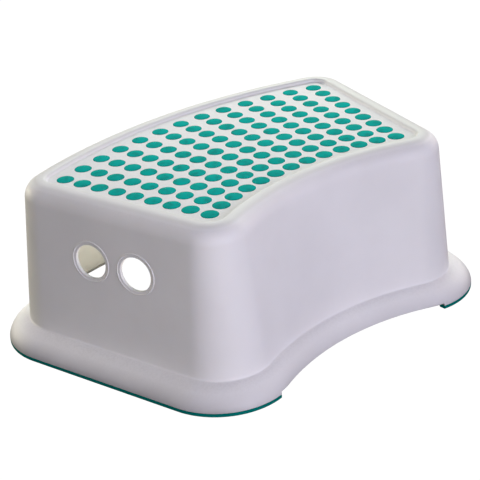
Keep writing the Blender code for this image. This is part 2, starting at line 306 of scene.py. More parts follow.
def rounded(before, corner, after, radius, steps):
    """Round the corner of a profile: points from `radius` before it to `radius` after."""
    start = corner + (before - corner) * radius / np.linalg.norm((before - corner)[[0, 2]])
    end = corner + (after - corner) * radius / np.linalg.norm((after - corner)[[0, 2]])
    points = []
    for step in range(steps + 1):
        share = step / steps
        points.append(start * (1 - share) ** 2 + corner * 2 * share * (1 - share) + end * share ** 2)
    return points


def window_heights():
    low = HAND_HOLE_HEIGHT - WINDOW_HALF_HEIGHT
    return [low + 2 * WINDOW_HALF_HEIGHT * step / WINDOW_STEPS for step in range(WINDOW_STEPS + 1)]


def wall_levels(foot, top):
    """Straight wall between two profile points, with a level at every window height."""
    heights = window_heights()
    low = [foot[2] + (heights[0] - foot[2]) * share for share in SHARES_BELOW_WINDOWS]
    high = [(heights[-1] + top[2]) / 2]
    levels = []
    for height in low + heights + high:
        levels.append(foot + (top - foot) * (height - foot[2]) / (top[2] - foot[2]))
    return levels, len(low)


def shoulder(depth):
    """Wall top turning over into the rim, `depth` inside the outer face."""
    levels = []
    for step in range(ROUND_STEPS + 1):
        angle = math.pi / 2 * step / ROUND_STEPS
        inward = TOP_ROUND - (TOP_ROUND - depth) * math.cos(angle)
        height = WALL_TOP + (TOP_ROUND - depth) * math.sin(angle)
        levels.append(np.array((TOP_INSET_LONG + inward, TOP_INSET_END + inward, height)))
    return levels


def recess(depth):
    """Edge of the rim, step down and edge of the tread."""
    step_angle = math.atan2(RECESS_DEPTH, RECESS_RUN)
    edge = TOP_ROUND + RIM_FLAT - depth * math.tan(step_angle / 2)
    points = [(TOP_ROUND, HEIGHT - depth), (edge, HEIGHT - depth),
              (edge + RECESS_RUN, TREAD - depth), (edge + 3 * RECESS_RUN, TREAD - depth)]
    rim, ridge, foot, tread = [
        np.array((TOP_INSET_LONG + inward, TOP_INSET_END + inward, height))
        for inward, height in points
    ]
    ridge_round = min(RIDGE_ROUND, (ridge - rim)[0] * 0.9)
    levels = rounded(rim, ridge, foot, ridge_round, RIDGE_STEPS)
    return levels + rounded(ridge, foot, tread, RECESS_FILLET, RECESS_STEPS)


def skin_levels(depth, bottom):
    """Levels of the outer (depth 0) or inner skin above the flare's `bottom` height.
    Returns them with the index of the lowest window level."""
    crease = np.array((depth + FLARE_LONG, depth + FLARE_END, FLARE_TOP - depth))
    top = shoulder(depth)
    last = flare_turn(FLARE_TOP - depth - CREASE_MARGIN, depth)
    start = flare_turn(bottom, depth)
    flare = [flare_point(start + (last - start) * step / FLARE_STEPS, depth)
             for step in range(FLARE_STEPS + 1)]
    flare = [point for point in flare if crease[0] - point[0] > CREASE_ROUND * 1.05]
    while len(flare) < FLARE_STEPS - 1:
        flare.append(flare[-1] + (crease - flare[-1]) * 0.2)
    fillet = rounded(flare[-1], crease, top[0], CREASE_ROUND, CREASE_STEPS)
    wall, below = wall_levels(fillet[-1], top[0])
    levels = flare[:FLARE_STEPS - 1] + fillet + wall
    first_window = FLARE_STEPS - 1 + len(fillet) + below
    return levels + top + recess(depth), first_window


# ---- mesh of the shell -------------------------------------------------------------
class Surface:
    """Vertices and faces gathered before they become one mesh."""

    def __init__(self):
        self.points = []
        self.faces = []
        self.land = {}

    def add(self, points):
        first = len(self.points)
        self.points += [tuple(float(value) for value in point) for point in points]
        return list(range(first, len(self.points)))

    def bridge(self, first, second):
        count = len(first)
        for index in range(count):
            after = (index + 1) % count
            self.faces.append((first[index], first[after], second[after], second[index]))


def add_skin(surface, depth, bottom_feet, bottom_skirt, windows):
    """One skin of the shell, its lower edge raised between the feet.  Returns its
    lowest and highest rings and the boundary of each window."""
    feet, first_window = skin_levels(depth, bottom_feet)
    skirt, _ = skin_levels(depth, bottom_skirt)
    base = outline(0.0, 0.0)
    raised = np.abs(base[:, 0]) < FOOT_INNER_X
    rings = []
    for on_feet, on_skirt in zip(feet, skirt):
        ring = np.column_stack((outline(on_feet[0], on_feet[1]), np.full(RING_COUNT, on_feet[2])))
        other = np.column_stack((outline(on_skirt[0], on_skirt[1]), np.full(RING_COUNT, on_skirt[2])))
        ring[raised] = other[raised]
        rings.append(surface.add(ring))

    skipped = set()
    edges = []
    for start in windows:
        for level in range(WINDOW_STEPS):
            for column in range(WINDOW_STEPS):
                skipped.add((first_window + level, start + column))
        low, high = first_window, first_window + WINDOW_STEPS
        edge = [rings[low][start + step] for step in range(WINDOW_STEPS)]
        edge += [rings[low + step][start + WINDOW_STEPS] for step in range(WINDOW_STEPS)]
        edge += [rings[high][start + WINDOW_STEPS - step] for step in range(WINDOW_STEPS)]
        edge += [rings[high - step][start] for step in range(WINDOW_STEPS)]
        edges.append(edge)
    for level, (lower, upper) in enumerate(zip(rings, rings[1:])):
        for index in range(RING_COUNT):
            if (level, index) not in skipped:
                after = (index + 1) % RING_COUNT
                surface.faces.append((lower[index], lower[after], upper[after], upper[index]))
    return rings[0], rings[-1], edges


def window_starts():
    """First ring index of each hand hole's patch, two on the right end, two on the left."""
    margin = END_STEPS // 2 - WINDOW_STEPS
    right = [FIRST_END + margin, FIRST_END + END_STEPS // 2]
    return right + [RING_COUNT - start - WINDOW_STEPS for start in right]


def hand_hole_places():
    """Centres of the hand holes on the outer face, in the order of the windows."""
    front, back = corner_centres(0.0, 0.0)
    middle = (END_DIRECTION.dot(front) + END_DIRECTION.dot(back)) / 2 - HAND_HOLE_FORWARD
    inset = FLARE_END + DRAFT_END * (HAND_HOLE_HEIGHT - FLARE_TOP)
    places = []
    for side in (1, -1):
        for offset in (-HAND_HOLE_SPACING / 2, HAND_HOLE_SPACING / 2):
            flat = END_NORMAL * (END_DISTANCE - inset) + END_DIRECTION * (middle + offset)
            places.append(Vector((side * flat.x, flat.y + ARC_AXIS_Y, HAND_HOLE_HEIGHT)))
    return places


def patch_axes(surface, edge, inside):
    """Axes in the plane of a window's edge and its normal, which points away from `inside`."""
    corners = [Vector(surface.points[edge[step * WINDOW_STEPS]]) for step in range(3)]
    along = (corners[1] - corners[0]).normalized()
    normal = along.cross(corners[2] - corners[1]).normalized()
    if normal.dot(corners[0] - inside) < 0:
        normal.negate()
    up = normal.cross(along)
    if up.dot(corners[2] - corners[1]) < 0:
        up.negate()
    return corners[0], along, up, normal


def bead_profile():
    """Section of a hand hole's raised ring, as (radius, rise) from the wall inwards."""
    half = (BEAD_OUTER - BEAD_INNER) / 2
    middle = (BEAD_OUTER + BEAD_INNER) / 2
    points = [(BEAD_OUTER + BEAD_RUNOUT, 0.0)]
    for step in range(BEAD_STEPS + 1):
        share = step / BEAD_STEPS
        radius = BEAD_OUTER - 2 * half * share
        arch = max(0.0, 1 - abs((radius - middle) / half) ** BEAD_FLATNESS)
        points.append((radius, BEAD_RISE * arch ** BEAD_STEEPNESS))
    return points


def cut_hand_hole(surface, outer_edge, inner_edge, centre):
    """Beaded hole between a window of the outer skin and the same one of the inner."""
    inside = Vector((0.0, 0.0, HAND_HOLE_HEIGHT))
    corner, along, up, normal = patch_axes(surface, outer_edge, inside)
    inner_corner, _, _, inner_normal = patch_axes(surface, inner_edge, inside)
    centre = centre - normal * (centre - corner).dot(normal)
    count = 4 * WINDOW_STEPS
    directions = []
    for step in range(count):
        angle = 2 * math.pi * step / count - math.pi * 3 / 4
        directions.append(along * math.cos(angle) * HAND_HOLE_STRETCH
                          + up * math.sin(angle) / HAND_HOLE_STRETCH)

    def circle(radius, rise):
        return surface.add([centre + spoke * radius + normal * rise for spoke in directions])

    def inner_circle(radius, rise):
        ring = []
        for spoke in directions:
            point = centre + spoke * radius
            reach = (inner_corner - point).dot(inner_normal) / normal.dot(inner_normal)
            ring.append(point + normal * (reach + rise))
        return surface.add(ring)

    rings = [outer_edge]
    rings += [circle(radius, rise) for radius, rise in bead_profile()]
    for step in range(EDGE_STEPS + 1):
        angle = math.pi / 2 * step / EDGE_STEPS
        rings.append(circle(HAND_HOLE_RADIUS + HOLE_EDGE * (1 - math.sin(angle)),
                            HOLE_EDGE * (math.cos(angle) - 1)))
    for step in range(EDGE_STEPS + 1):
        angle = math.pi / 2 * step / EDGE_STEPS
        rings.append(inner_circle(HAND_HOLE_RADIUS + HOLE_EDGE * (1 - math.cos(angle)),
                                  HOLE_EDGE * (1 - math.sin(angle))))
    rings.append(inner_edge)
    for first, second in zip(rings, rings[1:]):
        surface.bridge(first, second)


def row_radius(row):
    """Row 0 is at the back."""
    return MID_RADIUS + ((ROWS - 1) / 2 - row) * ROW_PITCH


def row_pitch(row):
    return ARC_PITCH_BACK + (ARC_PITCH_FRONT - ARC_PITCH_BACK) * row / (ROWS - 1)


def dot_place(row, column):
    """Plan position of row and column, which may lie between dots."""
    radius = row_radius(row)
    angle = (column - (DOTS_PER_ROW - 1) / 2) * row_pitch(row) / radius
    return radius * math.sin(angle), radius * math.cos(angle) + ARC_AXIS_Y


def cell_edge(row, column):
    """Boundary of a dot's cell as grid steps, counter-clockwise from its front left."""
    left, front = column * CELL_STEPS, (row + 1) * CELL_STEPS
    right, back = left + CELL_STEPS, front - CELL_STEPS
    edge = [(front, left + step) for step in range(CELL_STEPS)]
    edge += [(front - step, right) for step in range(CELL_STEPS)]
    edge += [(back, right - step) for step in range(CELL_STEPS)]
    edge += [(back + step, left) for step in range(CELL_STEPS)]
    return edge


def grid_boundary():
    """Outer edge of the field of cells as grid steps, in the order of an outline
    that starts at its front left corner."""
    rows, columns = ROWS * CELL_STEPS, DOTS_PER_ROW * CELL_STEPS
    edge = [(rows, step) for step in range(columns)]
    edge += [(rows - step, columns) for step in range(rows)]
    edge += [(0, columns - step) for step in range(columns)]
    edge += [(step, 0) for step in range(rows)]
    return edge


def add_field(surface, height, rings_round_dots):
    """Flat field of cells with a round hole at each dot.  `rings_round_dots` are
    (radius, height, land) from the cell inwards.  Returns the outer edge and the rim
    of each hole."""
    grid = {}

    def grid_vertex(key):
        if key not in grid:
            x, y = dot_place(key[0] / CELL_STEPS - 0.5, key[1] / CELL_STEPS - 0.5)
            grid[key] = surface.add([(x, y, height)])[0]
        return grid[key]

    rims = []
    for row in range(ROWS):
        for column in range(DOTS_PER_ROW):
            ring = [grid_vertex(key) for key in cell_edge(row, column)]
            x, y = dot_place(row, column)
            spin = -(column - (DOTS_PER_ROW - 1) / 2) * row_pitch(row) / row_radius(row)
            for radius, level, land in rings_round_dots:
                circle = []
                for step in range(DOT_SIDES):
                    angle = 2 * math.pi * step / DOT_SIDES - math.pi * 3 / 4 + spin
                    circle.append((x + radius * math.cos(angle), y + radius * math.sin(angle), level))
                circle = surface.add(circle)
                surface.land.update(dict.fromkeys(circle, land))
                surface.bridge(ring, circle)
                ring = circle
            rims.append(ring)
    return [grid_vertex(key) for key in grid_boundary()], rims


def ordered_from_corner(ring):
    """A skin's ring, turned to start at the middle of the front left corner."""
    return ring[FRONT_LEFT:] + ring[:FRONT_LEFT]


def lower_edge(surface, outer, inner):
    """Lower edge of the shell: rounded lip, flat foot and the thick rail inside it."""
    base = outline(0.0, 0.0)
    raised = np.abs(base[:, 0]) < FOOT_INNER_X
    bottoms = np.where(raised, SKIRT_CLEARANCE, SHELL_BOTTOM)
    skirt_inset = flare_point(flare_turn(SKIRT_CLEARANCE + LIP_ROUND))[0]
    starts = np.where(raised, skirt_inset, 0.0)
    section = []
    for angle in (0.35, 0.8, 1.2, math.pi / 2):
        section.append((LIP_ROUND * (1 - math.cos(angle)), LIP_ROUND * (1 - math.sin(angle))))
    rings = [outer]
    for inward, rise in section:
        rings.append(surface.add(lip_ring(starts + inward, bottoms + rise)))
    rail = np.full(RING_COUNT, FOOT_STRIP_WIDTH)
    for inward, rise in ((-RAIL_EDGE, 0.0), (0.0, RAIL_EDGE)):
        rings.append(surface.add(lip_ring(rail + inward, bottoms + rise)))
    rings.append(surface.add(lip_ring(rail, np.full(RING_COUNT, RAIL_TOP - RAIL_EDGE))))
    rings.append(surface.add(lip_ring(rail - RAIL_EDGE, np.full(RING_COUNT, RAIL_TOP))))
    rings.append(inner)
    for first, second in zip(rings, rings[1:]):
        surface.bridge(first, second)


def lip_ring(insets, heights):
    """Outline whose inset and height change from point to point."""
    ring = np.zeros((RING_COUNT, 3))
    for inset in sorted(set(insets.tolist())):
        chosen = insets == inset
        ring[chosen, :2] = outline(inset, inset)[chosen]
    ring[:, 2] = heights
    return ring


def add_ribs(shell):
    """Stiffening ribs under the tread, from end wall to end wall, welded on."""
    middle_of_wall = shoulder(WALL / 2)
    heights = [level[2] for level in middle_of_wall]
    insets = [level[1] for level in middle_of_wall]
    low, high = TREAD_UNDERSIDE - RIB_DEPTH, TREAD_UNDERSIDE + WALL / 3
    taper = RIB_THICKNESS * RIB_TAPER
    section = ((-RIB_THICKNESS / 2 + taper, low), (RIB_THICKNESS / 2 - taper, low),
               (RIB_THICKNESS / 2, high), (-RIB_THICKNESS / 2, high))
    bm = bmesh.new()
    for row in RIB_ROWS:
        radius = MID_RADIUS + row * ROW_PITCH
        spans = []
        for offset, level in section:
            reach = END_DISTANCE - np.interp(level, heights, insets)
            spans.append(math.asin(reach / (radius + offset)) + END_SLANT)
        rings = []
        for step in range(RIB_STEPS + 1):
            ring = []
            for (offset, level), span in zip(section, spans):
                angle = span * (2 * step / RIB_STEPS - 1)
                ring.append(bm.verts.new(((radius + offset) * math.sin(angle),
                                          (radius + offset) * math.cos(angle) + ARC_AXIS_Y, level)))
            rings.append(ring)
        close_bar(bm, rings)
    weld(shell, new_object("ribs", bm))


def close_bar(bm, rings):
    """Sides between the rings of a bar, and its two end faces."""
    count = len(rings[0])
    for first, second in zip(rings, rings[1:]):
        for index in range(count):
            after = (index + 1) % count
            bm.faces.new((first[index], first[after], second[after], second[index]))
    bm.faces.new(rings[0])
    bm.faces.new(rings[-1])
    bmesh.ops.recalc_face_normals(bm, faces=bm.faces)


# ---- objects ---------------------------------------------------------------------
def new_object(name, bm):
    mesh = bpy.data.meshes.new(name)
    bm.to_mesh(mesh)
    bm.free()
    obj = bpy.data.objects.new(name, mesh)
    bpy.context.scene.collection.objects.link(obj)
    return obj


def weld(obj, other):
    """Boolean union of obj with other, applied; other is removed."""
    modifier = obj.modifiers.new("weld", 'BOOLEAN')
    modifier.operation = 'UNION'
    modifier.solver = 'EXACT'
    modifier.object = other
    depsgraph = bpy.context.evaluated_depsgraph_get()
    mesh = bpy.data.meshes.new_from_object(obj.evaluated_get(depsgraph))
    obj.modifiers.clear()
    old = obj.data
    obj.data = mesh
    bpy.data.meshes.remove(old)
    bpy.data.objects.remove(other)


def smooth(obj, degrees):
    obj.data.shade_smooth()
    obj.data.set_sharp_from_angle(angle=math.radians(degrees))


def make_shell(material):
    surface = Surface()
    windows = window_starts()
    outer_low, outer_high, outer_edges = add_skin(
        surface, 0.0, SHELL_BOTTOM + LIP_ROUND, SKIRT_CLEARANCE + LIP_ROUND, windows)
    inner_bottom = RAIL_TOP + RAIL_RUNOUT
    inner_low, inner_high, inner_edges = add_skin(
        surface, WALL, inner_bottom, inner_bottom, windows)
    lower_edge(surface, outer_low, inner_low)
    for outer_edge, inner_edge, centre in zip(outer_edges, inner_edges, hand_hole_places()):
        cut_hand_hole(surface, outer_edge, inner_edge, centre)

    # (radius, height, land): the land fades in, then the edge turns down into the hole.
    hole = DOT_RADIUS + DOT_HOLE_SLACK
    top_rings = [
        (hole + DOT_HOLE_EDGE + SHUT_OFF * 1.15, TREAD, 0.0),
        (hole + DOT_HOLE_EDGE + SHUT_OFF * 0.95, TREAD, 1.0),
        (hole + DOT_HOLE_EDGE, TREAD, 1.0),
        (hole + DOT_HOLE_EDGE * 0.3, TREAD - DOT_HOLE_EDGE * 0.3, 1.0),
        (hole, TREAD - DOT_HOLE_EDGE, 1.0),
    ]
    under_rings = [
        (hole + DOT_HOLE_EDGE, TREAD_UNDERSIDE, 0.0),
        (hole, TREAD_UNDERSIDE + DOT_HOLE_EDGE, 0.0),
    ]
    top_edge, top_rims = add_field(surface, TREAD, top_rings)
    under_edge, under_rims = add_field(surface, TREAD_UNDERSIDE, under_rings)
    surface.bridge(ordered_from_corner(outer_high), top_edge)
    surface.bridge(ordered_from_corner(inner_high), under_edge)
    for top, under in zip(top_rims, under_rims):
        surface.bridge(top, under)

    used = sorted(set(index for face in surface.faces for index in face))
    number = {old: new for new, old in enumerate(used)}
    mesh = bpy.data.meshes.new("shell")
    mesh.from_pydata([surface.points[index] for index in used], [],
                     [tuple(number[index] for index in face) for face in surface.faces])
    land = mesh.attributes.new("land", 'FLOAT', 'POINT')
    land.data.foreach_set("value", [surface.land.get(index, 0.0) for index in used])
    bm = bmesh.new()
    bm.from_mesh(mesh)
    bmesh.ops.recalc_face_normals(bm, faces=bm.faces)
    bpy.data.meshes.remove(mesh)
    shell = new_object("shell", bm)
    add_ribs(shell)
    shell.data.materials.clear()
    shell.data.materials.append(material)
    smooth(shell, SHELL_SHARP)
    return shell


def dot_profile():
    """Section of a dot from the middle of its foot to the middle of its crown."""
    foot = TREAD_UNDERSIDE - GAP - RUNNER_HEIGHT * DOT_FOOT_DEPTH
    points = [(DOT_RADIUS - DOT_FOOT_EDGE, foot), (DOT_RADIUS, foot + DOT_FOOT_EDGE),
              (DOT_RADIUS, TREAD)]
    shoulder_height = TREAD + DOT_RISE * SHOULDER_START
    shoulder_run = DOT_RADIUS * SHOULDER_RUN
    shoulder_rise = DOT_RISE * SHOULDER_RISE
    for step in range(SHOULDER_STEPS + 1):
        angle = math.pi / 2 * step / SHOULDER_STEPS * SHOULDER_TURN
        points.append((DOT_RADIUS - shoulder_run * (1 - math.cos(angle)),
                       shoulder_height + shoulder_rise * math.sin(angle)))
    edge_radius, edge_height = points[-1]
    for share in SHARES_OF_CROWN:
        crown = (TREAD + DOT_RISE - edge_height) * (1 - share ** 2)
        points.append((edge_radius * share, edge_height + crown))
    return points


def make_grip_strip(row, material):
    """A row of crowned dots welded to the runner under the tread."""
    radius = row_radius(row)
    high = TREAD_UNDERSIDE - GAP
    low = high - RUNNER_HEIGHT
    half_angle = ((DOTS_PER_ROW - 1) / 2 * row_pitch(row) + RUNNER_WIDTH / 2) / radius
    section = [
        (-RUNNER_WIDTH / 2 + RUNNER_BEVEL, low),
        (RUNNER_WIDTH / 2 - RUNNER_BEVEL, low),
        (RUNNER_WIDTH / 2, low + RUNNER_BEVEL),
        (RUNNER_WIDTH / 2, high),
        (-RUNNER_WIDTH / 2, high),
        (-RUNNER_WIDTH / 2, low + RUNNER_BEVEL),
    ]
    bm = bmesh.new()
    rings = []
    for step in range(RUNNER_STEPS + 1):
        angle = half_angle * (2 * step / RUNNER_STEPS - 1)
        rings.append([bm.verts.new(((radius + offset) * math.sin(angle),
                                    (radius + offset) * math.cos(angle) + ARC_AXIS_Y, level))
                      for offset, level in section])
    close_bar(bm, rings)
    strip = new_object(f"grip_strip_{row + 1}_visual", bm)

    bm = bmesh.new()
    profile = dot_profile()
    for column in range(DOTS_PER_ROW):
        x, y = dot_place(row, column)
        spin = -(column - (DOTS_PER_ROW - 1) / 2) * row_pitch(row) / radius - math.pi * 3 / 4
        rings = []
        for out, level in profile:
            ring = []
            for step in range(DOT_SIDES):
                angle = 2 * math.pi * step / DOT_SIDES + spin
                ring.append(bm.verts.new((x + out * math.cos(angle), y + out * math.sin(angle), level)))
            rings.append(ring)
        for first, second in zip(rings, rings[1:]):
            for index in range(DOT_SIDES):
                after = (index + 1) % DOT_SIDES
                bm.faces.new((first[index], first[after], second[after], second[index]))
        bm.faces.new(rings[0])
        crown = bm.verts.new((x, y, TREAD + DOT_RISE))
        for index in range(DOT_SIDES):
            bm.faces.new((rings[-1][index], rings[-1][(index + 1) % DOT_SIDES], crown))
    bmesh.ops.recalc_face_normals(bm, faces=bm.faces)
    dots = new_object("dots", bm)
    weld(strip, dots)
    strip.data.materials.clear()
    strip.data.materials.append(material)
    smooth(strip, GRIP_SHARP)
    return strip


def foot_path(inset):
    """Plan path of a foot strip at `inset`, from the front notch to the back notch."""
    corner = BASE_CORNER - inset
    back = BACK_RADIUS - inset
    front_centre, back_centre = corner_centres(inset, inset)
    stop = FOOT_INNER_X + GAP
    start = -math.acos((stop - front_centre.x) / corner)
    back_angle = math.atan2(back_centre.y, back_centre.x)
    last = math.acos(stop / back)
    points = [on_arc(front_centre, corner, start, -END_SLANT, step / CORNER_STEPS)
              for step in range(CORNER_STEPS + 1)]
    end_from = np.array(points[-1])
    end_to = np.array(on_arc(back_centre, corner, -END_SLANT, back_angle, 0))
    points += [tuple(end_from + (end_to - end_from) * step / STRIP_END_STEPS)
               for step in range(1, STRIP_END_STEPS)]
    points += [on_arc(back_centre, corner, -END_SLANT, back_angle, step / CORNER_STEPS)
               for step in range(CORNER_STEPS)]
    points += [on_arc((0, 0), back, back_angle, last, step / CORNER_STEPS)
               for step in range(CORNER_STEPS + 1)]
    return np.array(points) + (0, ARC_AXIS_Y)


def make_foot_strip(side, name, material):
    """U of rubber under one end, all its edges rounded."""
    corners = ((0.0, 0.0), (FOOT_STRIP_WIDTH, 0.0),
               (FOOT_STRIP_WIDTH, FOOT_STRIP_HEIGHT), (0.0, FOOT_STRIP_HEIGHT))
    section = []
    for index, (inset, height) in enumerate(corners):
        towards_in = 1 if inset == 0.0 else -1
        towards_mid = 1 if height == 0.0 else -1
        radius = STRIP_ROUND if height == 0.0 else STRIP_ROUND * 0.5
        for step in range(EDGE_STEPS + 1):
            angle = math.pi / 2 * step / EDGE_STEPS
            if index % 2:
                angle = math.pi / 2 - angle
            section.append((inset + towards_in * radius * (1 - math.cos(angle)),
                            height + towards_mid * radius * (1 - math.sin(angle))))
    bm = bmesh.new()
    rings = []
    for inset, height in section:
        rings.append([bm.verts.new((side * x, y, height)) for x, y in foot_path(inset)])
    count = len(rings[0])
    for first, second in zip(rings, rings[1:] + rings[:1]):
        for index in range(count - 1):
            bm.faces.new((first[index], first[index + 1], second[index + 1], second[index]))
    bm.faces.new([ring[0] for ring in rings])
    bm.faces.new([ring[-1] for ring in rings])
    bmesh.ops.recalc_face_normals(bm, faces=bm.faces)
    strip = new_object(name, bm)
    strip.data.materials.append(material)
    smooth(strip, FOOT_SHARP)
    return strip


# ---- materials -------------------------------------------------------------------
WHITE_DULL = (0.800, 0.790, 0.785, 1)
WHITE_CLEAR = (0.840, 0.832, 0.828, 1)
LAND_WHITE = (0.870, 0.855, 0.850, 1)
PORE_GREY = (0.720, 0.710, 0.700, 1)
SCUFF_GREY = (0.660, 0.650, 0.640, 1)
# painted shade on the rim's crest
RIM_SHADE_GREY = (0.715, 0.705, 0.685, 1)
# painted shade near the floor
SHADE_GREY_LOW = (0.420, 0.410, 0.420, 1)

TEAL_DULL = (0.0, 0.358, 0.302, 1)
TEAL_CLEAR = (0.0, 0.402, 0.346, 1)
TEAL_PALE = (0.0, 0.510, 0.450, 1)
TEAL_DEEP = (0.0, 0.235, 0.205, 1)
# painted shade on sloping rubber
TEAL_SLOPE_SHADE = (0.0, 0.230, 0.190, 1)
# painted shade near the floor
TEAL_LOW_SHADE = (0.0, 0.110, 0.095, 1)
TEAL_NICK = (0.12, 0.50, 0.44, 1)


class Nodes:
    """Short way to add and join shader nodes."""

    def __init__(self, name):
        self.material = bpy.data.materials.new(name)
        self.material.use_nodes = True
        self.tree = self.material.node_tree
        self.tree.nodes.clear()
        self.output = self.tree.nodes.new('ShaderNodeOutputMaterial')

    def add(self, kind, inputs=None, **settings):
        node = self.tree.nodes.new(kind)
        for key, value in settings.items():
            setattr(node, key, value)
        for key, value in (inputs or {}).items():
            if isinstance(value, bpy.types.NodeSocket):
                self.tree.links.new(value, node.inputs[key])
            else:
                node.inputs[key].default_value = value
        return node

    def noise(self, place, scale, detail=4.0, roughness=0.5):
        node = self.add('ShaderNodeTexNoise', {'Vector': place, 'Scale': scale, 'Detail': detail,
                                               'Roughness': roughness})
        return node.outputs['Fac']

    def map(self, value, low, high, to_low=0.0, to_high=1.0):
        node = self.add('ShaderNodeMapRange', {'Value': value, 'From Min': low, 'From Max': high,
                                               'To Min': to_low, 'To Max': to_high})
        return node.outputs['Result']

    def math(self, operation, first, second=0.5):
        node = self.add('ShaderNodeMath', {0: first, 1: second}, operation=operation)
        return node.outputs['Value']

    def mix(self, factor, first, second):
        node = self.add('ShaderNodeMix', data_type='RGBA')
        for socket, value in ((0, factor), (6, first), (7, second)):
            if isinstance(value, bpy.types.NodeSocket):
                self.tree.links.new(value, node.inputs[socket])
            else:
                node.inputs[socket].default_value = value
        return node.outputs[2]


def plastic():
    """Moulded white polypropylene: mould grain where it lies flat, smoother walls,
    faint flow clouding and scuffs, painted shade greying the rim's crest, painted shade
    near the floor that is strongest on the ends, and a little scattering."""
    nodes = Nodes("white_plastic")
    place = nodes.add('ShaderNodeTexCoord').outputs['Object']
    height = nodes.add('ShaderNodeSeparateXYZ', {'Vector': place}).outputs['Z']
    geometry = nodes.add('ShaderNodeNewGeometry')
    normal = nodes.add('ShaderNodeSeparateXYZ', {'Vector': geometry.outputs['Normal']})
    facing_up = nodes.map(normal.outputs['Z'], 0.6, 0.95)
    below_rim = nodes.map(height, TREAD + 0.0006, TREAD + 0.0002)
    flat = nodes.math('MULTIPLY', facing_up, below_rim)
    land = nodes.add('ShaderNodeAttribute', attribute_name="land").outputs['Fac']
    grainy = nodes.math('MULTIPLY', flat, nodes.map(land, 0.0, 1.0, 1.0, 0.12))

    clouds = nodes.noise(place, 16.0, 3.0)
    fine = nodes.noise(place, 1300.0, 2.0, 0.6)
    pores = nodes.noise(place, 520.0, 2.0, 0.55)
    scuffs = nodes.map(nodes.noise(place, 95.0, 6.0, 0.7), 0.66, 0.74)

    tint = nodes.mix(nodes.map(clouds, 0.35, 0.65), WHITE_DULL, WHITE_CLEAR)
    speckle = nodes.math('MULTIPLY', nodes.map(pores, 0.44, 0.62), grainy)
    tint = nodes.mix(nodes.math('MULTIPLY', speckle, 0.30), tint, PORE_GREY)
    tint = nodes.mix(nodes.math('MULTIPLY', land, 0.8), tint, LAND_WHITE)
    tint = nodes.mix(nodes.math('MULTIPLY', scuffs, 0.10), tint, SCUFF_GREY)

    # Painted shade: the rim's crest is greyed so that it lights no brighter than the tread.
    rim = nodes.map(height, TREAD + 0.0010, TREAD + 0.0022)
    tint = nodes.mix(nodes.math('MULTIPLY', rim, 0.85), tint, RIM_SHADE_GREY)

    # Painted shade: greyer near the floor, most on faces turned towards the ends, in uneven patches.
    near_floor_shade = nodes.map(height, 0.014, 0.004)
    sideways = nodes.math('ABSOLUTE', normal.outputs['X'])
    end_facing_shade = nodes.map(sideways, 0.1, 0.6, 0.60, 1.0)
    patchy_shade = nodes.map(nodes.noise(place, 40.0, 3.0), 0.2, 0.7, 0.55, 0.85)
    low_shade = nodes.math('MULTIPLY', near_floor_shade, patchy_shade)
    low_shade = nodes.math('MULTIPLY', low_shade, end_facing_shade)
    tint = nodes.mix(low_shade, tint, SHADE_GREY_LOW)

    rough = nodes.map(clouds, 0.3, 0.7, 0.44, 0.54)
    rough = nodes.math('ADD', rough, nodes.math('MULTIPLY', grainy, 0.18))
    rough = nodes.math('ADD', rough, nodes.math('MULTIPLY', scuffs, 0.08))

    fine_relief = nodes.math('MULTIPLY', fine, nodes.map(grainy, 0.0, 1.0, 0.10, 1.0))
    pore_relief = nodes.math('MULTIPLY', pores, nodes.map(grainy, 0.0, 1.0, 0.05, 1.1))
    relief = nodes.math('ADD', fine_relief, pore_relief)
    bump = nodes.add('ShaderNodeBump', {'Height': relief, 'Strength': 0.22, 'Distance': 0.00030})
    shader = nodes.add('ShaderNodeBsdfPrincipled', {
        'Base Color': tint, 'Roughness': rough, 'Normal': bump.outputs['Normal'],
        'IOR': 1.49, 'Specular IOR Level': 0.30, 'Subsurface Weight': 0.12,
        'Subsurface Radius': (0.0022, 0.0019, 0.0016), 'Subsurface Scale': 1.0})
    nodes.tree.links.new(shader.outputs['BSDF'], nodes.output.inputs['Surface'])
    return nodes.material


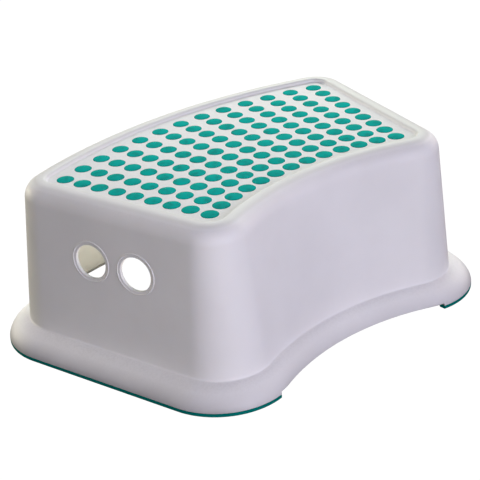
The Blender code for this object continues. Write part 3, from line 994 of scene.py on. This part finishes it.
def rubber():
    """Satin teal rubber: faint mottling, fine bump, a few pale nicks, painted shade
    where it slopes, and painted shade near the floor that darkens the foot strips."""
    nodes = Nodes("teal_rubber")
    place = nodes.add('ShaderNodeTexCoord').outputs['Object']
    height = nodes.add('ShaderNodeSeparateXYZ', {'Vector': place}).outputs['Z']
    geometry = nodes.add('ShaderNodeNewGeometry')
    normal = nodes.add('ShaderNodeSeparateXYZ', {'Vector': geometry.outputs['Normal']})
    mottle = nodes.noise(place, 180.0, 4.0, 0.6)
    patches = nodes.noise(place, 22.0, 2.0)
    fine = nodes.noise(place, 1500.0, 2.0, 0.6)
    nick_field = nodes.add('ShaderNodeTexVoronoi', {'Vector': place, 'Scale': 150.0, 'Randomness': 1.0})
    nicks = nodes.map(nick_field.outputs['Distance'], 0.07, 0.04)
    some = nodes.map(nodes.noise(place, 60.0, 1.0), 0.60, 0.64)
    nicks = nodes.math('MULTIPLY', nicks, some)

    tint = nodes.mix(nodes.map(patches, 0.35, 0.65), TEAL_DULL, TEAL_CLEAR)
    paler = nodes.math('MULTIPLY', nodes.map(mottle, 0.45, 0.7), 0.45)
    tint = nodes.mix(paler, tint, TEAL_PALE)
    deeper = nodes.math('MULTIPLY', nodes.map(mottle, 0.48, 0.34), 0.55)
    tint = nodes.mix(deeper, tint, TEAL_DEEP)
    # Painted shade: faces that slope, such as the dots' shoulders and the strips' sides, are darkened.
    slope_shade = nodes.map(normal.outputs['Z'], 0.985, 0.85)
    tint = nodes.mix(nodes.math('MULTIPLY', slope_shade, 0.50), tint, TEAL_SLOPE_SHADE)
    # Painted shade: darker near the floor, which covers the foot strips under the flare.
    near_floor_shade = nodes.map(height, 0.010, 0.004)
    tint = nodes.mix(nodes.math('MULTIPLY', near_floor_shade, 0.70), tint, TEAL_LOW_SHADE)
    tint = nodes.mix(nodes.math('MULTIPLY', nicks, 0.5), tint, TEAL_NICK)

    rough = nodes.map(mottle, 0.3, 0.7, 0.62, 0.80)
    relief = nodes.math('ADD', nodes.math('MULTIPLY', fine, 0.5), nodes.math('MULTIPLY', nicks, -0.8))
    bump = nodes.add('ShaderNodeBump', {'Height': relief, 'Strength': 0.20, 'Distance': 0.00025})
    shader = nodes.add('ShaderNodeBsdfPrincipled', {
        'Base Color': tint, 'Roughness': rough, 'Normal': bump.outputs['Normal'],
        'IOR': 1.48, 'Specular IOR Level': 0.02})
    nodes.tree.links.new(shader.outputs['BSDF'], nodes.output.inputs['Surface'])
    return nodes.material


# ---- stage -----------------------------------------------------------------------
PAPER_TINT = (0.06, 0.06, 0.06, 1)
PAPER_GLOW = 1.15
GLOW_SHARE = 0.90           # of what the camera sees of the paper
FLOOR_HALF = 6.0


def paper():
    """White paper that the camera sees nearly shadowless, as in a light tent, and that
    throws little light back onto the object."""
    nodes = Nodes("paper")
    diffuse = nodes.add('ShaderNodeBsdfDiffuse', {'Color': PAPER_TINT})
    glow = nodes.add('ShaderNodeEmission', {'Color': (1, 1, 1, 1), 'Strength': PAPER_GLOW})
    to_camera = nodes.add('ShaderNodeLightPath').outputs['Is Camera Ray']
    seen = nodes.math('MULTIPLY', to_camera, GLOW_SHARE)
    both = nodes.add('ShaderNodeMixShader', {0: seen})
    nodes.tree.links.new(diffuse.outputs['BSDF'], both.inputs[1])
    nodes.tree.links.new(glow.outputs['Emission'], both.inputs[2])
    nodes.tree.links.new(both.outputs['Shader'], nodes.output.inputs['Surface'])
    return nodes.material


def make_floor():
    bm = bmesh.new()
    bmesh.ops.create_grid(bm, x_segments=1, y_segments=1, size=FLOOR_HALF)
    floor = new_object("floor", bm)
    floor.data.materials.append(paper())


def area_light(name, place, aim, size, power, colour):
    light = bpy.data.lights.new(name, 'AREA')
    light.shape = 'RECTANGLE'
    light.size, light.size_y = size
    light.energy = power
    light.color = colour
    obj = bpy.data.objects.new(name, light)
    obj.location = place
    obj.rotation_euler = (Vector(aim) - Vector(place)).to_track_quat('-Z', 'Y').to_euler()
    bpy.context.scene.collection.objects.link(obj)


def make_lights():
    """Soft boxes behind, in front and to the right, a warm glow inside the hollow that
    stands for the light its thin walls let through, and a dim even sky."""
    middle = (0.0, 0.0, 0.06)
    just_off_vertical = (0.0, 0.0001, 0.06)
    area_light("behind_above", (0.25, 0.95, 0.95), middle, (0.8, 0.6), 6.6, (0.86, 0.83, 0.96))
    area_light("behind_right", (0.85, 0.75, 0.90), middle, (0.7, 0.6), 10.8, (0.87, 0.97, 0.82))
    area_light("behind_low", (-0.45, 1.25, 0.30), middle, (0.5, 0.5), 10.5, (1.0, 0.94, 0.77))
    area_light("front", (-0.15, -1.35, 0.50), middle, (0.8, 0.6), 10.6, (0.81, 0.79, 1.0))
    area_light("front_left", (-0.85, -1.15, 0.45), middle, (0.6, 0.6), 6.3, (1.0, 0.95, 0.92))
    area_light("right", (1.35, 0.0, 0.50), middle, (0.7, 0.6), 7.9, (1.0, 0.89, 0.87))
    area_light("wall_glow", (0.0, 0.0, 0.001), just_off_vertical, (0.22, 0.15), 0.19,
               (1.0, 0.92, 0.75))
    world = bpy.data.worlds.new("studio")
    world.use_nodes = True
    background = world.node_tree.nodes["Background"]
    background.inputs["Color"].default_value = (0.757, 0.80, 1.0, 1.0)
    background.inputs["Strength"].default_value = 0.05
    bpy.context.scene.world = world


LENS = 98.939               # millimetres, on a sensor 36 mm wide
SHIFT = (-0.0128, -0.0064)
CAMERA_PLACE = Vector((-0.60045, -0.72411, 0.51645))
CAMERA_FORWARD = Vector((0.57132, 0.69063, -0.44342))
CAMERA_RIGHT = Vector((0.75082, -0.65800, -0.05747))


def make_camera():
    data = bpy.data.cameras.new("camera")
    data.sensor_width = 36.0
    data.lens = LENS
    data.shift_x, data.shift_y = SHIFT
    data.clip_start = 0.05
    camera = bpy.data.objects.new("camera", data)
    back = -CAMERA_FORWARD.normalized()
    right = (CAMERA_RIGHT - back * CAMERA_RIGHT.dot(back)).normalized()
    up = back.cross(right)
    rotation = Matrix((right, up, back)).transposed()
    camera.matrix_world = Matrix.Translation(CAMERA_PLACE) @ rotation.to_4x4()
    bpy.context.scene.collection.objects.link(camera)
    bpy.context.scene.camera = camera


def main():
    white = plastic()
    teal = rubber()
    shell = make_shell(white)
    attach(shell, "root")
    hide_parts("step_shell")
    for row in range(ROWS):
        strip = make_grip_strip(row, teal)
        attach(strip, "root")
        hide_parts(f"grip_strip_{row + 1}")
    for side, word in ((-1, "left"), (1, "right")):
        foot = make_foot_strip(side, f"foot_{word}_visual", teal)
        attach(foot, "root")
        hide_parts(f"foot_grip_{word}")
    make_floor()
    make_lights()
    make_camera()
    bpy.context.scene.view_settings.view_transform = 'Standard'


main()
